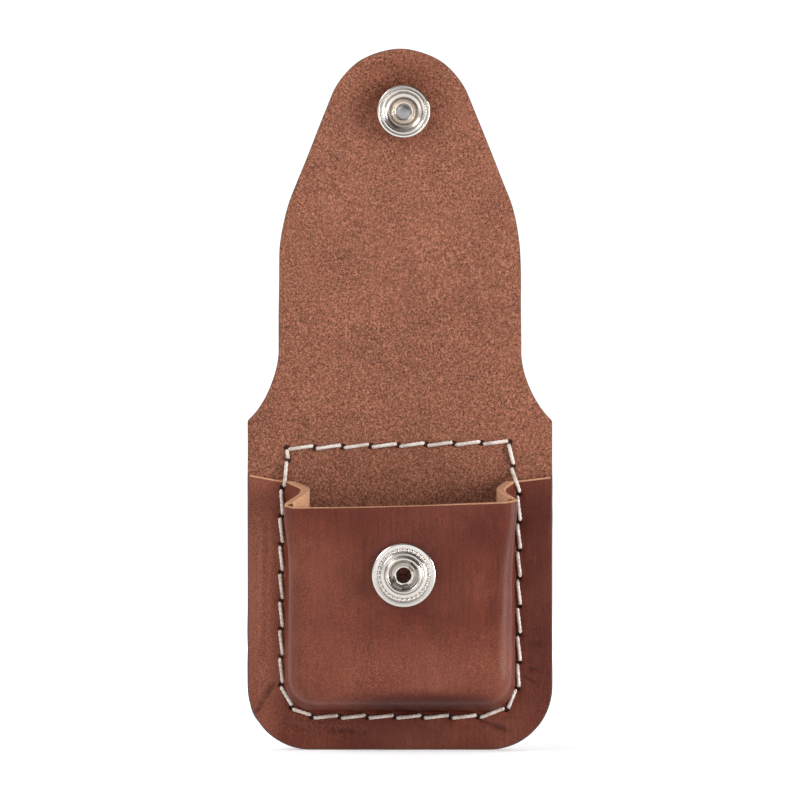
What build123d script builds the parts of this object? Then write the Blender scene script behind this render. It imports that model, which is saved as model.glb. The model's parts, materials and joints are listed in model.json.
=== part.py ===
"""A belt case of vegetable-tanned leather for a pocket-size instrument.

One hide makes the back and the flap, a second one is wet-moulded over a block into the pocket, and a
strap on the back takes the belt. One closed lockstitch seam holds the three together, and a ring-spring
snap closes the flap. Everything is in millimetres. The case hangs upright: +Z is up, the pocket faces -Y
and the wearer's hip is at +Y. Heights are counted from the bottom edge and are moved on export, so that
the origin is the middle of the belt slot on the rear face of the back.
"""

from build123d import *
from math import cos, radians, sin, tan
import os

# Leather
HIDE = 1.8  # back, flap and strap
SKIN = 1.7  # pocket

# Outline of the hide
HALF_WIDTH = 28.9
BOTTOM_R = 12.0
SHOULDER_Z = 62.4
SHOULDER_R = 0.8
STRIP_HALF = 23.1  # half width of the flap where it folds
FLARE_Z = 68.1
FLARE_R = 18.0
BEND_HALF = 22.8
BEND_Z = 99.75  # the flap starts to taper here
BEND_R = 30.0
TIP_Z = 133.0
TIP_R = 13.9
TAPER = 22.0  # degrees, each side

# Pocket
POCKET_HALF = 21.7  # outside
POCKET_BOTTOM = 7.6
POCKET_DEPTH = 14.0  # inside
CORNER_R = 6.0  # lower corners, seen from the front
EDGE_R = 3.6  # rounded edges along the front
MOUTH_BACK_Z = 51.6
MOUTH_FRONT_Z = 46.4
FRONT_Y = -(HIDE + POCKET_DEPTH + SKIN)

# Snap
SNAP_X = 0.7
STUD_Z = 33.4
SOCKET_Z = 121.0
SNAP_GAP = 3.6  # between the two leathers when the snap is closed
POST_R = 1.5
EYELET_R = 1.65
EYELET_BORE = 1.33
HEAD_R = 3.5
MOUTH_R = 3.75
SPRING_WIRE = 0.3
SPRING_R = 3.92
MILLED_BUMPS = 31

# Folds: the two hinge lines put the socket onto the stud
FOLD_Y = -HIDE / 2
FOLD_SPAN = POCKET_DEPTH + SKIN + SNAP_GAP + HIDE
BACK_FOLD_Z = (STUD_Z + SOCKET_Z - FOLD_SPAN) / 2
FRONT_FOLD_Z = BACK_FOLD_Z + FOLD_SPAN
FOLD_GAP = 0.15
BACK_FLEX = 11.0  # degrees that each side of a fold gives when the flap leans back

# Belt loop
STRAP_HALF = 18.1
STRAP_TOP = 61.6
STRAP_BOTTOM = 2.8
STRAP_TAB = 7.0  # height of each sewn end
STRAP_RISE = 4.3  # height over which the strap stands off the back
BELT_GAP = 4.9
STRAP_CORNER_R = 3.0
BELT_Z = (STRAP_TOP + STRAP_BOTTOM) / 2

# Seam
THREAD_R = 0.33
HOLE_R = 0.62
LEG_OFFSET = 0.3  # two legs of thread share each hole
TOP_STITCHES = 8
TOP_LEFT = (-21.5, 57.2)
TOP_RIGHT = (20.8, 58.3)
COLUMN_X = 22.5
COLUMN_PITCH = 5.32
LEFT_HOLES = 9
LEFT_START = 54.9
RIGHT_HOLES = 8
RIGHT_START = 53.8
SEAM_CORNER = (16.3, 12.3)  # centre of the seam's lower corners
SEAM_CORNER_R = 6.0
BOTTOM_FROM, BOTTOM_TO = 14.8, -16.7
BOTTOM_HOLES = 7


def plate(outline, thickness):
    """A flat piece drawn in X and Z, from y=0 towards the front."""
    return extrude(Plane.XZ * outline, thickness)


def turned(points, radii=0):
    """A turned piece from its section (radius, height), with its axis along +Y."""
    return revolve(make_face(FilletPolyline(*points, radius=radii, close=True)), Axis.Y)


def facing_front(shape, y, z):
    return Pos(SNAP_X, y, z) * Rot(0, 0, 180) * shape


def facing_back(shape, y, z):
    return Pos(SNAP_X, y, z) * shape


def pin_hole(x, z, radius):
    """A drill along Y, long enough for every layer."""
    return Pos(x, 0, z) * Rot(90, 0, 0) * Cylinder(radius, 80)


# Seam holes, all the way round from the top left corner


def column_x(z):
    """The columns lean in where they leave the pocket's flange."""
    lean = min(max((z - 48.5) / 6, 0), 1)
    return COLUMN_X - 1.3 * lean


def corner_hole(side, angle):
    x, z = SEAM_CORNER
    return (side * (x + SEAM_CORNER_R * cos(radians(angle))), z + SEAM_CORNER_R * sin(radians(angle)))


def seam_holes():
    step = (TOP_RIGHT[0] - TOP_LEFT[0]) / TOP_STITCHES
    rise = (TOP_RIGHT[1] - TOP_LEFT[1]) / TOP_STITCHES
    top = [(TOP_LEFT[0] + i * step, TOP_LEFT[1] + i * rise) for i in range(TOP_STITCHES + 1)]
    right = [RIGHT_START - i * COLUMN_PITCH for i in range(RIGHT_HOLES)]
    left = [LEFT_START - i * COLUMN_PITCH for i in reversed(range(LEFT_HOLES))]
    pitch = (BOTTOM_TO - BOTTOM_FROM) / (BOTTOM_HOLES - 1)
    bottom = [(BOTTOM_FROM + i * pitch, SEAM_CORNER[1] - SEAM_CORNER_R) for i in range(BOTTOM_HOLES)]
    return (
        top
        + [(column_x(z), z) for z in right]
        + [corner_hole(1, -6), corner_hole(1, -50)]
        + bottom
        + [corner_hole(-1, -45)]
        + [(-column_x(z), z) for z in left]
    )


def mouth_z(x):
    """Height of the flange's cut top edge."""
    return MOUTH_BACK_Z + 0.5 * (abs(x) - POCKET_HALF) / (HALF_WIDTH - POCKET_HALF)


def on_strap(x, z):
    in_tab = z > STRAP_TOP - STRAP_TAB or z < STRAP_BOTTOM + STRAP_TAB
    return abs(x) < STRAP_HALF and in_tab


def front_level(x, z):
    return -HIDE if z > mouth_z(x) else -HIDE - SKIN


def back_level(x, z):
    return HIDE if on_strap(x, z) else 0


# Leather


def hide_outline():
    """The whole hide: bottom, shoulders, flared neck, flap and round tip."""
    apex_z = TIP_Z - TIP_R + TIP_R / sin(radians(TAPER))
    right = [(HALF_WIDTH, 0), (HALF_WIDTH, SHOULDER_Z), (STRIP_HALF, FLARE_Z), (BEND_HALF, BEND_Z)]
    radii = [BOTTOM_R, SHOULDER_R, FLARE_R, BEND_R]
    left = [(-x, z) for x, z in reversed(right)]
    corners = right + [(0, apex_z)] + left
    return make_face(FilletPolyline(*corners, radius=radii + [TIP_R] + radii[::-1], close=True))


def between(low, high):
    """A block between two fold lines, with its ends bevelled so that the leathers clear each other."""
    bevel, flex = HIDE / 2, HIDE / 2 * tan(radians(BACK_FLEX))
    ends = []
    if low is None:
        ends += [(-HIDE, -1), (0, -1)]
    else:
        z = low + FOLD_GAP
        ends += [(-HIDE, z + bevel), (FOLD_Y, z), (0, z + flex)]
    if high is None:
        ends += [(0, TIP_Z + 1), (-HIDE, TIP_Z + 1)]
    else:
        z = high - FOLD_GAP
        ends += [(0, z - flex), (FOLD_Y, z), (-HIDE, z - bevel)]
    section = make_face(Polyline(*ends, close=True))
    return extrude(Plane.YZ * section, HALF_WIDTH + 1, both=True)


def hide_part(low, high):
    return plate(hide_outline(), HIDE) & between(low, high)


def stitched(shape, holes):
    return shape - [pin_hole(x, z, HOLE_R) for x, z in holes]


def block(half, bottom, y_front, corner, edge):
    """The shape that the pocket is moulded over: open at the top, rounded at its lower and front edges."""
    top = MOUTH_BACK_Z + 10
    outline = FilletPolyline(
        (-half, top), (-half, bottom), (half, bottom), (half, top), radius=[0, corner, corner, 0], close=True
    )
    solid = plate(make_face(outline), -y_front)
    front = solid.faces().sort_by(Axis.Y)[0].edges()
    return fillet([e for e in front if e.center().Z < top - 0.1], edge)


def pocket_front():
    flange = Pos(0, -HIDE, 0) * plate(hide_outline(), SKIN)
    outside = block(POCKET_HALF, POCKET_BOTTOM, FRONT_Y, CORNER_R, EDGE_R)
    inside = block(
        POCKET_HALF - SKIN, POCKET_BOTTOM + SKIN, FRONT_Y + SKIN, CORNER_R - SKIN, EDGE_R - SKIN
    )
    behind = Pos(0, -HIDE / 2, TIP_Z / 2) * Box(2 * HALF_WIDTH + 2, HIDE, TIP_Z + 2)
    y0, y1 = -HIDE - SKIN, FRONT_Y
    mouth = make_face(
        Polyline(
            (1, TIP_Z + 1), (1, MOUTH_BACK_Z), (y0, MOUTH_BACK_Z), (y1, MOUTH_FRONT_Z),
            (y1 - 1, MOUTH_FRONT_Z), (y1 - 1, TIP_Z + 1), close=True,
        )
    )
    above = extrude(Plane.YZ * mouth, HALF_WIDTH + 1, both=True)
    shell = (flange + outside) - inside - behind - above
    return shell - pin_hole(SNAP_X, STUD_Z, EYELET_R + 0.05)


def belt_loop():
    tab, high = HIDE / 2, HIDE / 2 + BELT_GAP
    top, low = STRAP_TOP - STRAP_TAB, STRAP_BOTTOM + STRAP_TAB
    centre = FilletPolyline(
        (tab, STRAP_TOP), (tab, top), (high, top - STRAP_RISE),
        (high, low + STRAP_RISE), (tab, low), (tab, STRAP_BOTTOM), radius=2.4,
    )
    section = Plane.YZ * Pos(0, 0, -STRAP_HALF) * trace(centre, HIDE)
    strap = extrude(section, 2 * STRAP_HALF)
    height = STRAP_TOP - STRAP_BOTTOM
    rounded = RectangleRounded(2 * STRAP_HALF, height, STRAP_CORNER_R)
    return strap & extrude(Plane.XZ * Pos(0, BELT_Z) * rounded, -HIDE - BELT_GAP - 1)


# Thread


def stitch(a, b, level, out, edge):
    """One stitch between two holes: a leg down each hole and the run on the surface.

    level gives the surface under a point, out is +1 behind and -1 in front, and edge is the point where
    the run climbs onto a second layer, if it does.
    """
    (ax, az), (bx, bz) = a, b
    run = ((bx - ax) ** 2 + (bz - az) ** 2) ** 0.5
    dx, dz = (bx - ax) / run * LEG_OFFSET, (bz - az) / run * LEG_OFFSET
    lift = out * (THREAD_R + 0.03)
    root = out * 0.45 - HIDE * 0.6
    points = [
        (ax + dx, root, az + dz),
        (ax + dx, level(ax, az) + lift, az + dz),
        (bx - dx, level(bx, bz) + lift, bz - dz),
        (bx - dx, root, bz - dz),
    ]
    if edge:
        points.insert(2, edge)
    path = FilletPolyline(*points, radius=THREAD_R + 0.02)
    start = Plane(origin=path @ 0, z_dir=path % 0)
    return sweep(start * Circle(THREAD_R - 0.03), path=path)


def crossing(a, b, level, out):
    """Where a run climbs onto the flange or the strap: just outside that layer's edge."""
    if level(*a) == level(*b):
        return None
    (ax, az), (bx, bz) = a, b
    low = a if abs(level(*a)) < abs(level(*b)) else b
    steps = [i / 40 for i in range(41)]
    inside = [(ax + t * (bx - ax), az + t * (bz - az)) for t in steps]
    high = [p for p in inside if level(*p) != level(*low)]
    x, z = high[0] if low is a else high[-1]
    toward = 0.35 / ((low[0] - x) ** 2 + (low[1] - z) ** 2) ** 0.5
    top = max(abs(level(*a)), abs(level(*b)))
    return (x + toward * (low[0] - x), out * (top + THREAD_R + 0.03), z + toward * (low[1] - z))


def thread(holes, level, out):
    pairs = list(zip(holes, holes[1:] + holes[:1]))
    return Compound([stitch(a, b, level, out, crossing(a, b, level, out)) for a, b in pairs])


# Snap


def snap_stud():
    """Flange with a milled ring, and a hollow post with a bulged head."""
    wall = HEAD_R - 0.7
    body = turned(
        [
            (EYELET_R + 0.05, 0), (6.0, 0), (6.0, 0.45), (5.2, 0.75), (4.35, 1.0), (3.9, 0.55),
            (HEAD_R - 0.35, 0.6), (HEAD_R - 0.35, 1.5), (HEAD_R, 2.1), (HEAD_R - 0.1, 2.8),
            (wall, 2.9), (wall - 0.1, 0.5), (EYELET_R + 0.05, 0.5),
        ],
        [0, 0.1, 0.15, 0, 0.2, 0.1, 0.1, 0.2, 0.3, 0.25, 0.1, 0.2, 0],
    )
    bump = Pos(5.15, 0.62, 0) * Sphere(0.36)
    return body + [Rot(0, 360 / MILLED_BUMPS * i, 0) * bump for i in range(MILLED_BUMPS)]


def stud_eyelet():
    """Low flange inside the pocket, a tube through the leather and a flared end on the stud's floor."""
    return turned(
        [
            (EYELET_BORE, -SKIN - 0.6), (4.0, -SKIN - 0.5), (4.3, -SKIN), (EYELET_R, -SKIN),
            (EYELET_R, 0.52), (2.3, 0.52), (2.3, 0.8), (EYELET_BORE, 1.15),
        ],
        [0.1, 0.1, 0, 0, 0, 0.05, 0.1, 0.1],
    )


def socket_body():
    """Drawn cup that the stud's head goes into."""
    return turned(
        [
            (POST_R + 0.05, 0), (4.2, 0), (4.2, 0.45), (4.08, 0.45), (4.08, 1.25), (3.8, 1.25),
            (3.8, 0.75), (3.3, 0.3), (POST_R + 0.05, 0.3),
        ],
        [0, 0.05, 0, 0, 0.05, 0.05, 0.3, 0.3, 0],
    )


def socket_spring():
    """Split ring of wire that grips the stud below its head."""
    ring = Rot(90, 0, 0) * Torus(SPRING_R, SPRING_WIRE)
    split = Pos(0, 0, SPRING_R) * Box(1.2, 2, 2)
    return Pos(0, 1.58, 0) * (ring - split)


def socket_ring():
    """Outer ring with a rolled rim, crimped over the cup and the spring."""
    return turned(
        [
            (4.3, 0), (5.0, 0), (5.04, 0.3), (5.04, 2.45), (4.6, 2.5), (4.2, 2.2),
            (MOUTH_R + 0.15, 2.3), (MOUTH_R, 1.92), (4.3, 1.92),
        ],
        [0, 0, 0, 0.3, 0.15, 0.1, 0.12, 0, 0],
    )


def snap_cap():
    """Domed cap on the outside of the flap."""
    return turned(
        [
            (0, 1.95), (0, 2.3), (4.2, 2.0), (6.2, 0.9), (6.2, 0), (5.5, 0), (5.5, 0.3),
            (5.85, 0.35), (5.85, 0.75), (4.1, 1.65),
        ],
        [0, 0, 3.0, 0.8, 0.25, 0.1, 0, 0.05, 0.3, 2.0],
    )


def cap_post():
    """Washer inside the cap and a post that is rolled over the socket's floor."""
    through = HIDE + 0.3
    return turned(
        [
            (0, 0.35), (5.3, 0.35), (5.3, 0), (POST_R, 0), (POST_R, -through - 0.02),
            (2.4, -through - 0.02), (2.4, -through - 0.5), (1.6, -through - 0.75), (0, -through - 0.4),
        ],
        [0, 0.1, 0, 0, 0, 0.1, 0.15, 0.1, 0],
    )


def save(shape, node):
    export_step(Pos(0, 0, -BELT_Z) * shape, f"parts/{node}.step")


os.makedirs("parts", exist_ok=True)
HOLES = seam_holes()
TAB_HOLES = [h for h in HOLES if on_strap(*h)]
FLANGE_HOLES = [h for h in HOLES if h[1] < mouth_z(h[0])]

save(stitched(hide_part(None, BACK_FOLD_Z), HOLES), "back_panel")
save(hide_part(BACK_FOLD_Z, FRONT_FOLD_Z), "flap_crown")
save(hide_part(FRONT_FOLD_Z, None) - pin_hole(SNAP_X, SOCKET_Z, POST_R + 0.05), "flap_tongue")
save(stitched(pocket_front(), FLANGE_HOLES), "pocket_front")
save(stitched(belt_loop(), TAB_HOLES), "belt_loop")
save(thread(HOLES, front_level, -1), "needle_thread")
save(thread(HOLES, back_level, 1), "bobbin_thread")
save(facing_front(snap_stud(), FRONT_Y, STUD_Z), "snap_stud")
save(facing_front(stud_eyelet(), FRONT_Y, STUD_Z), "stud_eyelet")
save(facing_front(socket_body(), -HIDE, SOCKET_Z), "socket_body")
save(facing_front(socket_spring(), -HIDE, SOCKET_Z), "socket_spring")
save(facing_front(socket_ring(), -HIDE, SOCKET_Z), "socket_ring")
save(facing_back(snap_cap(), 0, SOCKET_Z), "snap_cap")
save(facing_back(cap_post(), 0, SOCKET_Z), "cap_post")
print("folds", BACK_FOLD_Z - BELT_Z, FRONT_FOLD_Z - BELT_Z, "front", FRONT_Y, "belt", BELT_Z)
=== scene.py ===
import json
import math
import bpy
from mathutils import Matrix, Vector, noise


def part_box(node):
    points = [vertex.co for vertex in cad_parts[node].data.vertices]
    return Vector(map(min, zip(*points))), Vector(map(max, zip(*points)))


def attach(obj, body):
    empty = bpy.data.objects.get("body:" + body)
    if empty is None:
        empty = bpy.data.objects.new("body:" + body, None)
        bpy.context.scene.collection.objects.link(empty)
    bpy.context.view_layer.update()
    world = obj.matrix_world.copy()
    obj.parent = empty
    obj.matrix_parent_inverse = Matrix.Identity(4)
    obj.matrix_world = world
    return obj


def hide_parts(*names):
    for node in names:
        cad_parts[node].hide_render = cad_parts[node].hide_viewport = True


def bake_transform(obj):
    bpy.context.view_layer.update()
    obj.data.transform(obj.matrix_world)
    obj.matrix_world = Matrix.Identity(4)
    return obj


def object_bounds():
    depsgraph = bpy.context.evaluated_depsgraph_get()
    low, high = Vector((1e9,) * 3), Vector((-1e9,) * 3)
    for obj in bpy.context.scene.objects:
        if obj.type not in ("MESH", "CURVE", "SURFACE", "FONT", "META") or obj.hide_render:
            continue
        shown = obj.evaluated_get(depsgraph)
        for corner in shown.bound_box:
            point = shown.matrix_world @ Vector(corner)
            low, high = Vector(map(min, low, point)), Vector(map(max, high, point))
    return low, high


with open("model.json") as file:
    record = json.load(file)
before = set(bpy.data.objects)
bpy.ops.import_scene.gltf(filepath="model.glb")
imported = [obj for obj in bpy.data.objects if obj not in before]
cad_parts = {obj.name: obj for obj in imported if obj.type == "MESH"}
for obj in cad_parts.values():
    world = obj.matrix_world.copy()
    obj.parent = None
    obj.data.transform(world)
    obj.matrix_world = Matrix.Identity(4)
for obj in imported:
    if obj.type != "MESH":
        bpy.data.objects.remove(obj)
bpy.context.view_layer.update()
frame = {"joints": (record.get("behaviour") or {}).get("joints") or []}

MM = 0.001

# ---------------------------------------------------------------- studio
# The case stands on white paper in a white room, lit by a large soft box from the upper left, a strip from
# the right and a weaker box behind. The camera looks at it square on, from far away, level with the middle
# of the open case.

FLOOR_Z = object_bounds()[0][2]
SEEN_WIDTH = 152 * MM
CAMERA_DISTANCE = 1.5

camera_data = bpy.data.cameras.new("camera")
camera_data.sensor_width = 36
camera_data.lens = 36 * CAMERA_DISTANCE / SEEN_WIDTH
camera_data.clip_start = 0.01
camera_data.clip_end = 20
camera = bpy.data.objects.new("camera", camera_data)
camera.location = (0, -CAMERA_DISTANCE, FLOOR_Z + 66.3 * MM)
camera.rotation_euler = (math.radians(90), 0, 0)
bpy.context.collection.objects.link(camera)
bpy.context.scene.camera = camera
bpy.context.scene.view_settings.view_transform = "Standard"


def soft_box(name, place, target, size, power):
    """A square-cornered lamp that faces its target, with its power in watts."""
    data = bpy.data.lights.new(name, "AREA")
    data.shape = "RECTANGLE"
    data.size, data.size_y = size
    data.energy = power
    lamp = bpy.data.objects.new(name, data)
    lamp.location = place
    lamp.rotation_euler = (Vector(target) - Vector(place)).to_track_quat("-Z", "Y").to_euler()
    bpy.context.collection.objects.link(lamp)


MIDDLE = (0, 0, 0.03)
soft_box("key", (-0.75, -0.6, 0.75), MIDDLE, (0.5, 0.5), 5.2)
soft_box("strip", (0.85, -0.36, 0.12), MIDDLE, (0.30, 0.6), 10.5)
soft_box("back", (0.5, 0.8, 0.5), MIDDLE, (0.5, 0.5), 4.5)


def select_only(obj):
    bpy.ops.object.select_all(action="DESELECT")
    obj.select_set(True)
    bpy.context.view_layer.objects.active = obj


def in_edit_mode(obj, pick, kind="FACE"):
    """Opens a piece for editing with the faces or edges or corners that pick() chooses."""
    select_only(obj)
    bpy.ops.object.mode_set(mode="EDIT")
    bpy.ops.mesh.select_mode(type=kind)
    bpy.ops.mesh.select_all(action="DESELECT")
    bpy.ops.object.mode_set(mode="OBJECT")
    parts = {"FACE": obj.data.polygons, "EDGE": obj.data.edges, "VERT": obj.data.vertices}[kind]
    for part in parts:
        part.select = bool(pick(part))
    bpy.ops.object.mode_set(mode="EDIT")


def applied(obj, kind, **settings):
    """Adds a modifier to a piece and applies it."""
    select_only(obj)
    modifier = obj.modifiers.new(kind, kind)
    for key, value in settings.items():
        setattr(modifier, key, value)
    bpy.ops.object.modifier_apply(modifier=modifier.name)


def shader(name):
    """A new material, with its node tree and its principled shader."""
    material = bpy.data.materials.new(name)
    material.use_nodes = True
    return material, material.node_tree, material.node_tree.nodes["Principled BSDF"]


def node(tree, kind, inputs=None, **settings):
    """A shader node, with its settings and with its inputs set or linked."""
    new = tree.nodes.new("ShaderNode" + kind)
    for key, value in settings.items():
        setattr(new, key, value)
    for key, value in (inputs or {}).items():
        if isinstance(value, bpy.types.NodeSocket):
            tree.links.new(value, new.inputs[key])
        else:
            new.inputs[key].default_value = value
    return new


def ramp(tree, value, *stops):
    """A colour or a grey for each value; a stop is (value, colour or grey)."""
    new = node(tree, "ValToRGB", {"Fac": value})
    elements = new.color_ramp.elements
    while len(elements) < len(stops):
        elements.new(0.5)
    for element, (at, colour) in zip(elements, stops):
        element.position = at
        element.color = (*colour, 1) if isinstance(colour, tuple) else (colour, colour, colour, 1)
    return new.outputs["Color"]


# The room's walls are white. Its ceiling is dimmer, and darkest on the right.
room = bpy.data.worlds.new("white_room")
room.use_nodes = True
bpy.context.scene.world = room
tree = room.node_tree
towards = node(tree, "TexCoord").outputs["Generated"]
place = node(tree, "SeparateXYZ", {"Vector": towards}).outputs
to_right = node(tree, "MapRange", {"Value": place["X"], "From Min": -1.0}).outputs["Result"]
ceiling = ramp(
    tree, to_right, (0.1, (0.66, 0.665, 0.68)), (0.45, (0.36, 0.365, 0.375)), (0.64, (0.05, 0.05, 0.055))
)
height = ramp(tree, place["Z"], (0.07, 0.0), (0.2, 1.0))
light = node(tree, "Mix", {0: height, 6: (1, 1, 1, 1), 7: ceiling}, data_type="RGBA").outputs[2]
tree.links.new(light, tree.nodes["Background"].inputs["Color"])
tree.nodes["Background"].inputs["Strength"].default_value = 1.12

bpy.ops.object.select_all(action="DESELECT")
bpy.ops.mesh.primitive_plane_add(size=12, location=(0, 0, FLOOR_Z))
floor = bpy.context.object
floor.name = "paper_floor"
applied(floor, "SOLIDIFY", thickness=0.002, offset=-1)
paper, tree, surface = shader("white_paper")
on_floor = node(tree, "TexCoord").outputs["Object"]
away = node(tree, "VectorMath", {0: on_floor}, operation="LENGTH").outputs["Value"]
glow = ramp(tree, away, (0.12, 0.36), (0.5, 0.8))
surface.inputs["Base Color"].default_value = (0.93, 0.93, 0.94, 1)
surface.inputs["Roughness"].default_value = 0.9
surface.inputs["Emission Strength"].default_value = 1.0
tree.links.new(glow, surface.inputs["Emission Color"])
floor.data.materials.append(paper)

# ---------------------------------------------------------------- hide
# Back and flap are one piece of vegetable-tanned cowhide, rough flesh side in front and smooth grain
# behind. It is cut with a strap knife, its edges are dyed and rubbed, and it folds twice over the pocket.
# It is made in two stretches that meet in the middle of the crown, each holding one of the two folds.

HIDE = 1.8
BELT_Z = -FLOOR_Z / MM
BACK_FOLD, FRONT_FOLD = [j["pos_m"][2] / MM for j in frame["joints"]]
MID_CROWN = (BACK_FOLD + FRONT_FOLD) / 2

HALF_WIDTH, BOTTOM_R, TIP_Z, TIP_R = 28.9, 12.0, 133.0, 13.9
TIP_TURN = math.radians(34)  # the round tip is four such turns between the flap's sides
# corner, and the radius that it is cut to, up the right side
CORNERS = [
    ((HALF_WIDTH, 0), BOTTOM_R), ((HALF_WIDTH, 62.4), 0.9), ((23.1, 68.1), 18.0), ((22.8, 99.75), 30.0),
]
for half_turns in (3, 1):
    turned, reach = half_turns * TIP_TURN / 2, TIP_R / math.cos(TIP_TURN / 2)
    CORNERS.append(((reach * math.sin(turned), TIP_Z - TIP_R + reach * math.cos(turned)), TIP_R))
OUTLINE = CORNERS + [((-x, z), r) for (x, z), r in reversed(CORNERS)]

TOP_LEFT, TOP_RIGHT, TOP_STITCHES = (-21.5, 57.2), (20.8, 58.3), 8
COLUMN_X, COLUMN_PITCH = 22.5, 5.32


def column_x(z):
    """The stitch columns lean in where they leave the pocket's flange."""
    return COLUMN_X - 1.3 * min(max((z - 48.5) / 6, 0), 1)


def seam_corner(side, angle):
    turn = math.radians(angle)
    return (side * (16.3 + 6 * math.cos(turn)), 12.3 + 6 * math.sin(turn))


def seam_holes():
    """Centres of the stitch holes, clockwise from the top left corner, above the bottom edge."""
    (x0, z0), (x1, z1) = TOP_LEFT, TOP_RIGHT
    share = [i / TOP_STITCHES for i in range(TOP_STITCHES + 1)]
    top = [(x0 + t * (x1 - x0), z0 + t * (z1 - z0)) for t in share]
    right = [(column_x(53.8 - i * COLUMN_PITCH), 53.8 - i * COLUMN_PITCH) for i in range(8)]
    bottom = [(14.8 - i * 5.25, 6.3) for i in range(7)]
    left = [(-column_x(54.9 - i * COLUMN_PITCH), 54.9 - i * COLUMN_PITCH) for i in reversed(range(9))]
    corners = [seam_corner(1, -6), seam_corner(1, -50)]
    return top + right + corners + bottom + [seam_corner(-1, -45)] + left


HOLES = seam_holes()
HOLE_R = 0.6
FLANGE_TOP = 51.1


def hole_depth(x, z):
    """How far the surface is drawn in round the stitch holes and along the pulled thread."""
    depth = 0
    for i, (ax, az) in enumerate(HOLES):
        bx, bz = HOLES[i - 1]
        if abs(x - ax) > 7 or abs(z - az) > 7:
            continue
        near = math.hypot(x - ax, z - az)
        depth = max(depth, 0.26 * math.exp(-((near / 0.95) ** 2)))
        run = math.hypot(bx - ax, bz - az)
        t = min(max(((x - ax) * (bx - ax) + (z - az) * (bz - az)) / run**2, 0), 1)
        beside = math.hypot(x - ax - t * (bx - ax), z - az - t * (bz - az))
        depth = max(depth, 0.12 * math.exp(-((beside / 0.8) ** 2)))
    return depth


def flat_piece(name, corners, y):
    """A flat face in X and Z with its corners rounded, from a disc with one point for each corner."""
    bpy.ops.object.select_all(action="DESELECT")
    bpy.ops.mesh.primitive_circle_add(vertices=len(corners), fill_type="NGON")
    obj = bpy.context.object
    obj.name = name
    places = [place for place, _ in corners]
    for vertex, (x, z) in zip(obj.data.vertices, places):
        vertex.co = (x, y, z)
    for i, (place, radius) in enumerate(corners):
        before, after = Vector(places[i - 1]), Vector(places[(i + 1) % len(places)])
        turn = (Vector(place) - before).angle(after - Vector(place))
        at = Vector((place[0], y, place[1]))
        in_edit_mode(obj, lambda v: (v.co - at).length < 0.001, "VERT")
        bpy.ops.mesh.bevel(
            offset=0.999 * radius * math.tan(turn / 2), segments=max(3, int(turn * radius * 1.6)),
            affect="VERTICES",
        )
        bpy.ops.object.mode_set(mode="OBJECT")
    return obj


def sliced(obj, axis, places):
    """Cuts a piece across at each place, so that it can bend and swell there."""
    normal = [0, 0, 0]
    normal[axis] = 1
    in_edit_mode(obj, lambda f: True)
    for place in places:
        at = [0, 0, 0]
        at[axis] = place
        bpy.ops.mesh.select_all(action="SELECT")
        bpy.ops.mesh.bisect(plane_co=at, plane_no=normal)
    bpy.ops.object.mode_set(mode="OBJECT")


def trimmed(obj, z, keep_above):
    """Cuts a piece across at one height and closes the cut."""
    in_edit_mode(obj, lambda f: True)
    bpy.ops.mesh.bisect(
        plane_co=(0, 0, z), plane_no=(0, 0, 1), use_fill=True,
        clear_inner=keep_above, clear_outer=not keep_above,
    )
    bpy.ops.object.mode_set(mode="OBJECT")


def steps(start, stop, step):
    """Even places from start up to stop, about one step apart."""
    count = max(1, round((stop - start) / step))
    return [start + (stop - start) * i / count for i in range(count + 1)]


def finished(obj, smooth=40):
    """Keeps a piece's flat pattern place, in millimetres, then puts it in the row frame in metres."""
    flat = obj.data.attributes.new("flat", "FLOAT_VECTOR", "POINT")
    for i, vertex in enumerate(obj.data.vertices):
        flat.data[i].vector = vertex.co
        vertex.co = (vertex.co.x * MM, vertex.co.y * MM, (vertex.co.z - BELT_Z) * MM)
    select_only(obj)
    bpy.ops.object.shade_smooth_by_angle(angle=math.radians(smooth))


def drilled(obj, holes, radius, front, back):
    """Punches round holes along Y into a piece, from one depth to another."""
    bpy.ops.object.select_all(action="DESELECT")
    punches = []
    for x, z in holes:
        bpy.ops.mesh.primitive_cylinder_add(
            vertices=20, radius=radius, depth=back - front, location=(x, (front + back) / 2, z),
            rotation=(math.pi / 2, 0, 0),
        )
        punches.append(bpy.context.object)
    bpy.ops.object.select_all(action="DESELECT")
    for punch in punches:
        punch.select_set(True)
    bpy.context.view_layer.objects.active = punches[0]
    if len(punches) > 1:
        bpy.ops.object.join()
    bpy.ops.object.transform_apply(location=True, rotation=True, scale=True)
    cutter = punches[0]
    applied(obj, "BOOLEAN", object=cutter, operation="DIFFERENCE", solver="EXACT")
    bpy.data.objects.remove(cutter)


def hide_stretch(name):
    """The hide's whole outline, 1.8 mm thick, with its edges rubbed round."""
    obj = flat_piece(name, OUTLINE, 0)
    in_edit_mode(obj, lambda f: True)
    bpy.ops.mesh.extrude_region_move(TRANSFORM_OT_translate={"value": (0, -HIDE, 0)})
    bpy.ops.mesh.select_all(action="SELECT")
    bpy.ops.mesh.normals_make_consistent(inside=False)
    bpy.ops.object.mode_set(mode="OBJECT")
    applied(obj, "BEVEL", width=0.45, segments=3, limit_method="ANGLE", angle_limit=math.radians(60))
    return obj


def waved(obj, pull):
    """Lets the hide lie unevenly, as cut leather does, and draws it in at the stitches."""
    for vertex in obj.data.vertices:
        x, y, z = vertex.co
        front = y < -HIDE / 2
        vertex.co.x += 0.14 * noise.noise(Vector((x / 9, 3, z / 9)))
        free = min(max((z - 60) / 30, 0), 1)
        vertex.co.y += free * 0.35 * noise.noise(Vector((x / 16, 0, z / 20)))
        if pull:
            vertex.co.y += hole_depth(x, z) * (1 if front else -1)


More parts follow.
